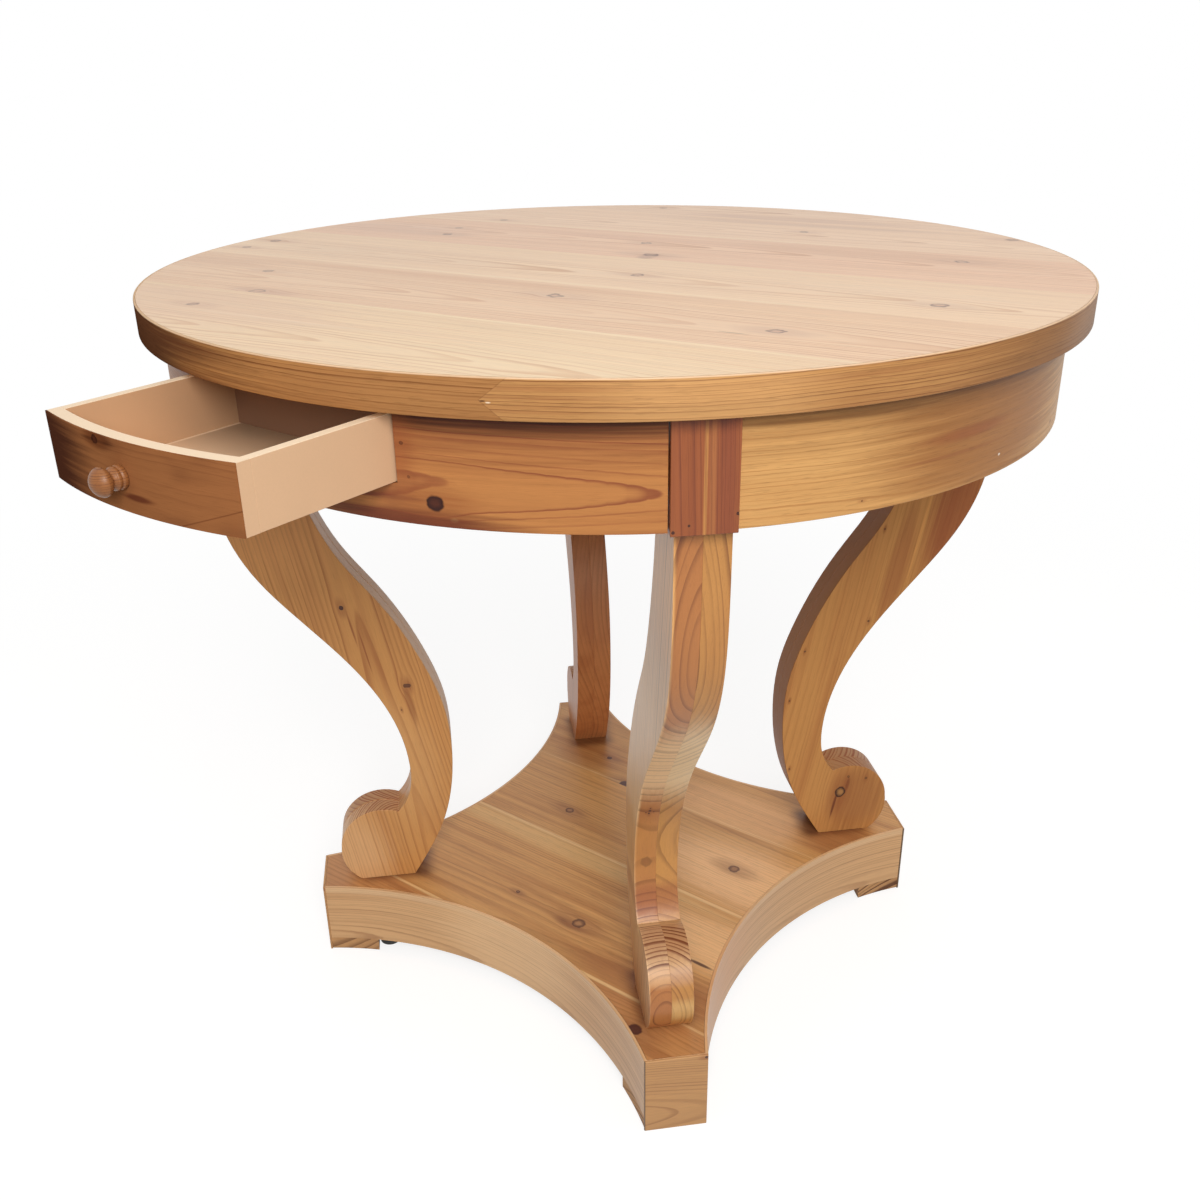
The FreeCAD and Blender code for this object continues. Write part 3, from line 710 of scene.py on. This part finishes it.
# The plinth's top boards run along X.
plinth = {
    "early": (216, 162, 100), "late": (154, 100, 56), "patch": (182, 124, 70), "patchShare": 0.7,
    "ring": 2.4, "line": 0.6, "taper": 0.012, "wave": 4, "strength": 0.45,
    "patchSize": (260, 13, 40), "streak": 0.1, "fibre": 0.1, "dash": 0.2,
    "knotColour": (80, 42, 32), "haloColour": (150, 96, 60),
}
paleSeam = (240, 200, 142)
plinthBoards = {
    "plinth_board_front": {
        "heart": (-300, 220), "early": (196, 139, 86), "patch": (164, 106, 63),
        "knots": [(196, -243, 7, False, 1)], "zones": [(0, -209, 400, 3.5, paleSeam, 0.9)],
    },
    "plinth_board_middle_front": {
        "heart": (-200, 240), "knots": [(53, -149, 7.5, True, 0.85), (-38, -146, 2.4, False, 1)],
        "knotHeart": (182, 132, 88),
        # The two dark zones near the front right foot, at 232 and 146 along, are painted shade
        # round it.
        "zones": [
            (44, -156, 26, 9, (120, 66, 44), 0.5), (200, -92, 150, 56, (246, 196, 140), 0.9),
            (198, -126, 20, 3, (80, 42, 30), 0.9), (232, -172, 60, 42, (164, 102, 60), 0.6),
            (146, -190, 90, 30, (160, 100, 56), 0.6), (-60, -50, 300, 20, (230, 186, 124), 0.8),
        ],
    },
    "plinth_board_middle_back": {
        "heart": (140, 230), "knots": [(-90, 18, 5.5, True, 0.9), (143, 36, 6.5, True, 0.85)],
        "knotHeart": (166, 116, 76),
        "zones": [(0, -35, 400, 4, paleSeam, 0.9), (190, 30, 220, 76, (250, 200, 146), 0.95)],
    },
    "plinth_board_back": {
        "heart": (300, 200), "knots": [(-122, 148, 3.5, False, 1), (-68, 108, 7, False, 1)],
        # The two dark zones near the back feet, at 212 and -146 along, are painted shade round
        # them.
        "zones": [
            (0, 108, 300, 3, paleSeam, 0.7), (90, 138, 150, 60, (252, 198, 142), 0.6),
            (212, 164, 62, 58, (158, 98, 58), 0.65), (-146, 140, 70, 50, (150, 88, 52), 0.4),
        ],
    },
}
# Painted shade round each foot on the plinth top, darkest behind the scroll.
paintedFootShade = {
    "middle": 268.0, "long": 31.0, "wide": 19.0, "fade": 25.0, "tone": (84, 38, 20), "share": 0.72,
}


def paintFootShade(sheet, colour, along, across):     # painted shade under the back of each scroll, where the leg shadows the plinth
    one = (along + across).math("ABSOLUTE") * math.sqrt(0.5)
    other = (along - across).math("ABSOLUTE") * math.sqrt(0.5)
    outwards = one.math("MAXIMUM", other) - paintedFootShade["middle"]
    sideways = one.math("MINIMUM", other)
    offLong = (outwards.math("ABSOLUTE") - paintedFootShade["long"]).math("MAXIMUM", 0.0)
    offWide = (sideways - paintedFootShade["wide"]).math("MAXIMUM", 0.0)
    shade = 1 - sheet.smooth(span(offLong, offWide), 0.0, paintedFootShade["fade"])
    return sheet.mix(shade * shade * paintedFootShade["share"], colour, linear(paintedFootShade["tone"]))


for seed, (name, board) in enumerate(plinthBoards.items()):
    board = {**plinth, **board, "extra": paintFootShade, "seed": 90.0 + 2.7 * seed}
    finishBoard(name, flatGrain, board)

# The plinth's hollow sides. Each is bent round the middle of its bay, away from the table.
sides = {
    "early": (226, 179, 128), "late": (176, 126, 84), "patch": (205, 156, 109), "ring": 2.6,
    "heart": (20, 420), "taper": 0.02, "wave": 3, "zones": [(0, 87, 900, 6, (242, 204, 160), 0.5)],
    "strength": 0.7, "patchShare": 0.6, "patchSize": (260, 8, 30), "streak": 0.06, "fibre": 0.07,
    "bay": 0.57976, "bend": 382, "ease": 0.6,
}
sideTurns = {"right": 0, "back": 90, "left": 180, "front": -90}
sideZones = {
    "front": [(5, 60, 130, 70, (249, 206, 156), 0.75)],      # lighter in its middle
    "right": [(130, 60, 150, 70, (229, 168, 112), 0.75)],    # warmer near the front corner
}
for seed, (side, turn) in enumerate(sideTurns.items()):
    way = math.radians(turn)
    centre = (sides["bay"] * math.cos(way), sides["bay"] * math.sin(way))
    grain = lambda sheet: bentGrain(sheet, turn + 180, sides["bend"], centre)
    zones = sides["zones"] + sideZones.get(side, [])
    finishBoard("plinth_side_" + side, grain, {**sides, "zones": zones, "seed": 110.0 + 3.3 * seed})

# Corner facings, feet and inside blocks.
facing = {
    "early": (202, 152, 100), "late": (152, 104, 64), "patch": (190, 140, 92), "ring": 2.4,
    "heart": (20, 300), "taper": 0.05, "wave": 3, "strength": 0.7, "patchSize": (120, 10, 30),
    "streak": 0.07, "fibre": 0.09, "ease": 0.8, "thick": 2.5, "joint": (1.3, 0.6),
    "jointTone": (60, 42, 30), "jointShare": 0.8,
}
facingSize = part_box("corner_facing_front_right")
facingHalf = (facingSize[1].x - facingSize[0].x) * metre / math.sqrt(2) - facing["thick"] / 2
facingKnots = [(facingHalf - 2, 88.5, 1.6, False, 0.9)]
foot = {
    "early": (206, 156, 106), "late": (104, 66, 40), "patch": (176, 126, 82), "ring": 3.9,
    "line": 0.6, "heart": (-200, 108), "taper": 0.0, "wave": 3, "patchSize": (30, 30, 30),
    "streak": 0.1, "fibre": 0.12, "rough": 0.6, "coat": 0.0, "bump": 0.5,
}
rawPine = {
    "early": (222, 184, 132), "late": (190, 140, 88), "patch": (212, 168, 114), "ring": 5,
    "heart": (10, -40), "taper": 0.02, "wave": 5, "strength": 0.6, "rough": 0.6, "coat": 0.0,
}


def facingJoint(sheet, colour, along, across):   # a dark glue line down its left edge
    begins, ends = (facingHalf - inset for inset in facing["joint"])
    line = sheet.smooth(along * -1.0, begins, ends)
    return sheet.mix(line * facing["jointShare"], colour, linear(facing["jointTone"]))


for seed, (corner, turn) in enumerate(legTurns.items()):
    look = {**facing, "seed": 130.0 + seed, "extra": facingJoint, "knots": facingKnots}
    finishBoard("corner_facing_" + corner, lambda sheet: levelGrain(sheet, turn), look)
    grain = lambda sheet: flatGrain(sheet, turn)
    strength = 1.3 if corner == "back_right" else 0.8
    finishBoard("foot_" + corner, grain, {**foot, "seed": 140.0 + seed, "strength": strength})
    finishBoard("plinth_corner_block_" + corner, grain, {**rawPine, "seed": 150.0 + seed})
print("plinth dressed")

# Hidden rails, bearer and runners.
rails = {
    "cross_rail_lower": -45, "cross_rail_upper": 45, "drawer_bearer": 0, "drawer_front_rail": 0,
    "drawer_runner_left": 90, "drawer_runner_right": 90,
}
for seed, (name, turn) in enumerate(rails.items()):
    look = {**rawPine, "heart": (20, 600), "ease": 0.8, "seed": 160.0 + seed}
    finishBoard(name, lambda sheet: flatGrain(sheet, turn), look)

# The drawer: a smooth pale box behind a bowed veneered front. Pull is how far it is out.
drawerPull = -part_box("drawer_front_veneer")[0].y - apron["bend"] * mm
drawerFront = {
    "early": (160, 104, 64), "late": (96, 50, 34), "patch": (118, 72, 46), "ring": 3.4, "line": 0.4,
    "heart": (700, 380), "taper": 0.03, "wave": 9, "strength": 0.22, "seed": 171.0,
    "patchShare": 0.4, "patchSize": (60, 30, 30), "knots": [(-27, 745.5, 3.6, False, 0.8)],
    "coat": 0.0, "gloss": 0.0, "rough": 0.5, "streak": 0.05,
    # The first zone darkens the left end: painted shade where the front turns away from the light.
    "zones": [
        (-120, 712, 98, 90, (80, 45, 33), 0.95), (-24, 746, 24, 9, (60, 30, 22), 0.9),
        (14, 711, 22, 3.6, (92, 42, 30), 0.8),
    ],
}
darkStreak = {
    "climb": 0.34, "start": 680.5, "line": (0.15, 0.8), "tone": (88, 40, 26), "share": 0.45,
}


def drawerStreak(sheet, colour, along, across):  # a thin dark line climbing to the right
    offLine = across - along * darkStreak["climb"] - darkStreak["start"]
    line = 1 - sheet.smooth(offLine.math("ABSOLUTE"), *darkStreak["line"])
    return sheet.mix(line * darkStreak["share"], colour, linear(darkStreak["tone"]))


drawerGrain = lambda sheet: bentGrain(sheet, -90, apron["bend"], (0, -drawerPull))
finishBoard("drawer_front_veneer", drawerGrain, {**drawerFront, "extra": drawerStreak})
lining = {
    # The back board's darker tone is painted shade, the top above the drawer keeping the light from
    # it.
    "tones": {
        "drawer_front": (222, 183, 146), "drawer_side_left": (204, 162, 124),
        "drawer_side_right": (222, 183, 146), "drawer_back": (160, 120, 94),
        "drawer_floor": (252, 212, 172),
    },
    "eased": {"drawer_side_left": 0.4, "drawer_side_right": 0.4, "drawer_back": 0.4},
    "dull": {"drawer_side_left": 0.35, "drawer_back": 0.4, "drawer_floor": 0.68},
    "dullPart": (-515, -395), "edge": (244, 219, 188), "sawnTop": (0.6, 0.2),
    "sawnSides": (-6.5, -5.5), "sawnShare": 0.6, "cloud": (60, 60, 60), "cloudShare": 0.1,
    "grit": (1.2, 1.2, 1.2), "speckle": 0.03, "rough": 0.6, "gritRough": 0.1, "bump": 0.1,
    "relief": 0.3 * mm,
}


def linedBoard(name):                            # smooth and pale, paler still on the sawn edges
    sheet = Sheet(name)
    place = flatGrain(sheet)
    along, across, height = sheet.split(place)
    low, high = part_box(name)
    cloud = sheet.noise(place, lining["cloud"], 3.0) - 0.5
    grit = sheet.noise(place, lining["grit"], 5.0) - 0.5
    if name == "drawer_floor":
        middle, half = (low.x + high.x) * metre / 2, (high.x - low.x) * metre / 2
        reach = (along - middle).math("ABSOLUTE") - half
        sawn = sheet.smooth(reach, *lining["sawnSides"]) * lining["sawnShare"]
    else:
        begins, ends = (high.z * metre - below for below in lining["sawnTop"])
        sawn = sheet.smooth(height, begins, ends)
    colour = sheet.mix(sawn, linear(lining["tones"][name]), linear(lining["edge"]))
    if name in lining["dull"]:                   # duller towards the back, where no light gets in
        dull = sheet.smooth(across, *lining["dullPart"]) * (1 - sawn) * lining["dull"][name]
        colour = sheet.scaled(colour, 1 - dull)
    shade = 1 + cloud * lining["cloudShare"] + grit * (2 * lining["speckle"])
    return sheet.finish({
        "Base Color": sheet.scaled(colour, shade),
        "Roughness": grit * lining["gritRough"] + lining["rough"],
        "Normal": sheet.bump(lining["bump"], lining["relief"], grit),
    })


for name in lining["tones"]:
    dress(nodes[name], linedBoard(name))
for name, width in lining["eased"].items():
    easeEdges(nodes[name], width)

# The turned knob.
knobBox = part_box("drawer_knob")
knob = {
    "seat": -knobBox[1].y, "height": (knobBox[0].z + knobBox[1].z) / 2, "steps": 72,
    "flareSteps": 8, "domeSteps": 12, "domeShare": 0.97,
    "base": [
        (0.0, 8.0), (0.3, 8.55), (0.9, 8.8), (2.8, 8.8), (3.5, 8.5), (3.9, 7.9), (4.3, 7.9),
        (4.7, 8.3), (5.3, 8.5), (6.4, 8.5), (7.1, 8.3), (7.6, 7.5), (8.0, 7.2), (8.4, 7.1),
        (9.0, 6.8), (9.8, 6.6),
    ],
    "neck": (10.4, 6.6), "rim": (16.0, 10.55), "softRim": [(-0.5, 0.02), (0.25, 0.12)], "dome": 7.2,
    "wood": {
        "early": (152, 98, 56), "late": (84, 44, 26), "patch": (130, 76, 44), "ring": 1.8,
        "heart": (14, 20), "taper": 0.0, "wave": 2, "strength": 0.7, "seed": 181.0,
        "patchSize": (14, 5, 5), "rough": 0.38, "coat": 0.06, "gloss": 0.3,
    },
}


# Neck, flare, soft rim, then a domed front. Points are (how far out, radius) in mm.
def knobProfile():
    neckOut, neck = knob["neck"]
    rimOut, rim = knob["rim"]
    flareLong, flareWide = rimOut - neckOut, rim - neck
    flare = (flareWide ** 2 + flareLong ** 2) / (2 * flareWide)
    dome = (rim ** 2 + knob["dome"] ** 2) / (2 * knob["dome"])
    tip = rimOut + knob["dome"]
    points = [(0.0, 0.0), *knob["base"]]
    for step in range(knob["flareSteps"]):
        angle = math.asin(flareLong / flare) * (1 - step / knob["flareSteps"])
        points.append((rimOut - flare * math.sin(angle), rim - flare * (1 - math.cos(angle))))
    points += [(rimOut + out, rim - inset) for out, inset in knob["softRim"]]
    for step in range(1, knob["domeSteps"] + 1):
        angle = math.asin(rim / dome) * (1 - step / knob["domeSteps"]) * knob["domeShare"]
        points.append((tip - dome * (1 - math.cos(angle)), dome * math.sin(angle)))
    return [(r * mm, knob["seat"] + out * mm) for out, r in points]


turnedKnob = lathe("turned_knob", knobProfile(), knob["steps"], axis="Y")
for vertex in turnedKnob.data.vertices:
    vertex.co.z += knob["height"]
knobWood = growWood("turned_knob", lambda sheet: levelGrain(sheet, 0), knob["wood"])
ride(turnedKnob, knobWood, "drawer", ["drawer_knob"])
print("drawer made")

# Steel and rubber.
steel = {
    "tone": (190, 190, 188), "brushed": (6, 0.4, 6), "blotch": (5, 5, 5), "shade": 0.2,
    "rough": 0.36, "brushedRough": 0.1, "blotchRough": 0.2,
}
rubber = {
    "tone": (46, 46, 44), "grit": (0.8, 0.8, 0.8), "shade": 0.5, "rough": 0.7, "gritRough": 0.2,
    "bump": 0.3, "relief": 0.3 * mm,
}


def makeSteel(name):
    sheet = Sheet(name)
    place = flatGrain(sheet)
    brushed = sheet.noise(place, steel["brushed"], 2.0) - 0.5
    blotch = sheet.noise(place, steel["blotch"], 8.0) - 0.5
    shade = 1 + brushed * steel["shade"] + blotch * steel["shade"]
    rough = blotch * steel["blotchRough"] + brushed * steel["brushedRough"] + steel["rough"]
    colour = sheet.scaled(linear(steel["tone"]), shade)
    return sheet.finish({"Base Color": colour, "Metallic": 1.0, "Roughness": rough})


def makeRubber(name):
    sheet = Sheet(name)
    grit = sheet.noise(flatGrain(sheet), rubber["grit"], 4.0) - 0.5
    return sheet.finish({
        "Base Color": sheet.scaled(linear(rubber["tone"]), 1 + grit * rubber["shade"]),
        "Roughness": grit * rubber["gritRough"] + rubber["rough"],
        "Normal": sheet.bump(rubber["bump"], rubber["relief"], grit),
    })


for name in ("leg_bolts", "top_fixing_screws", "knob_screw"):
    dress(nodes[name], makeSteel(name))
dress(nodes["rubber_pads"], makeRubber("rubber_pads"))

# A white floor that keeps the shadows, a soft sky and one large lamp.
studio = {
    "floor": (158, 158, 158), "floorGlow": 0.76, "floorSize": 60.0, "fadeFrom": 0.75, "fadeTo": 2.1,
    "floorRough": 0.9, "cloud": (900, 900, 900), "cloudShare": 0.02, "sky": (1.0, 0.99, 0.975),
    "skyLow": 0.18, "skyTop": 0.62, "skyRise": (0.25, 1.0), "skyBehind": 0.35,
    "behind": (-0.81, 0.59, 0.0), "behindPart": (0.45, 0.98), "keyTurn": 42.0, "keyRise": 31.0,
    "keyDistance": 2.6, "keySize": 1.2, "keyPower": 43.0, "keyColour": (1.0, 0.97, 0.93),
    "aim": Vector((0.0, 0.0, 0.45)),
}


def seenRays(sheet):                             # 1 where the eye looks, also in a reflection
    camera = sheet.node("ShaderNodeLightPath", out="Is Camera Ray")
    rays = camera.socket.node.outputs
    glossy = Value(sheet, rays["Is Glossy Ray"])
    through = Value(sheet, rays["Is Transmission Ray"])
    return camera.math("MAXIMUM", glossy.math("MAXIMUM", through))


def makeFloor():
    half = studio["floorSize"] / 2
    corners = [(-half, -half, 0), (half, -half, 0), (half, half, 0), (-half, half, 0)]
    mesh = bpy.data.meshes.new("floor")
    mesh.from_pydata(corners, [], [(0, 1, 2, 3)])
    floor = bpy.data.objects.new("floor", mesh)
    bpy.context.scene.collection.objects.link(floor)
    sheet = Sheet("floor")
    seen = seenRays(sheet)
    place = flatGrain(sheet)
    soft = sheet.noise(place, studio["cloud"], 1.0) - 0.5
    x, y, z = sheet.split(place)
    far = sheet.smooth(span(x, y), studio["fadeFrom"] * metre, studio["fadeTo"] * metre) * seen
    shade = (1 + soft * studio["cloudShare"]) * (1 - far)
    glow = seen * (studio["floorGlow"] * (1 - far) + far)
    dress(floor, sheet.finish({
        "Base Color": sheet.scaled(linear(studio["floor"]), shade),
        "Roughness": studio["floorRough"], "Specular IOR Level": 0.0,
        "Emission Color": sheet.scaled((1.0, 1.0, 1.0), glow), "Emission Strength": 1.0,
    }))


def makeSky():
    world = bpy.data.worlds.new("studio")
    bpy.context.scene.world = world
    sheet = Sheet("studio", world)
    direction = sheet.node("ShaderNodeTexCoord", out="Generated")
    facing = sheet.alike(direction, studio["behind"])
    height = sheet.split(direction)[2]
    bright = sheet.smooth(height, *studio["skyRise"]) * studio["skyTop"] + studio["skyLow"]
    bright = bright + sheet.smooth(facing, *studio["behindPart"]) * studio["skyBehind"]
    seen = seenRays(sheet)
    strength = seen + (1 - seen) * bright
    colour = sheet.mix(seen, (*studio["sky"], 1.0), (1.0, 1.0, 1.0, 1.0))
    background = sheet.node("ShaderNodeBackground", None, [colour, strength])
    sheet.node("ShaderNodeOutputWorld", None, [background])


def makeKeyLamp():
    lamp = bpy.data.lights.new("key", "AREA")
    lamp.shape = "DISK"
    lamp.size = studio["keySize"]
    lamp.energy = studio["keyPower"]
    lamp.color = studio["keyColour"]
    holder = bpy.data.objects.new("key", lamp)
    bpy.context.scene.collection.objects.link(holder)
    turn, rise = math.radians(studio["keyTurn"]), math.radians(studio["keyRise"])
    level = math.cos(rise)
    away = Vector((math.sin(turn) * level, -math.cos(turn) * level, math.sin(rise)))
    holder.location = studio["aim"] + away * studio["keyDistance"]
    holder.rotation_euler = (-away).to_track_quat("-Z", "Y").to_euler()


makeFloor()
makeSky()
makeKeyLamp()

# Seen from the front and right, a little above the top.
view = {
    "place": (0.7282, -0.996, 0.9893), "turn": (65.168, 0.797, 36.643), "lens": 36.544,
    "sensor": 36.0,
}
camera = bpy.data.cameras.new("camera")
camera.lens = view["lens"]
camera.sensor_width = view["sensor"]
stand = bpy.data.objects.new("camera", camera)
stand.location = view["place"]
stand.rotation_euler = [math.radians(angle) for angle in view["turn"]]
bpy.context.scene.collection.objects.link(stand)
bpy.context.scene.camera = stand
bpy.context.scene.view_settings.view_transform = "Standard"
print("studio set")
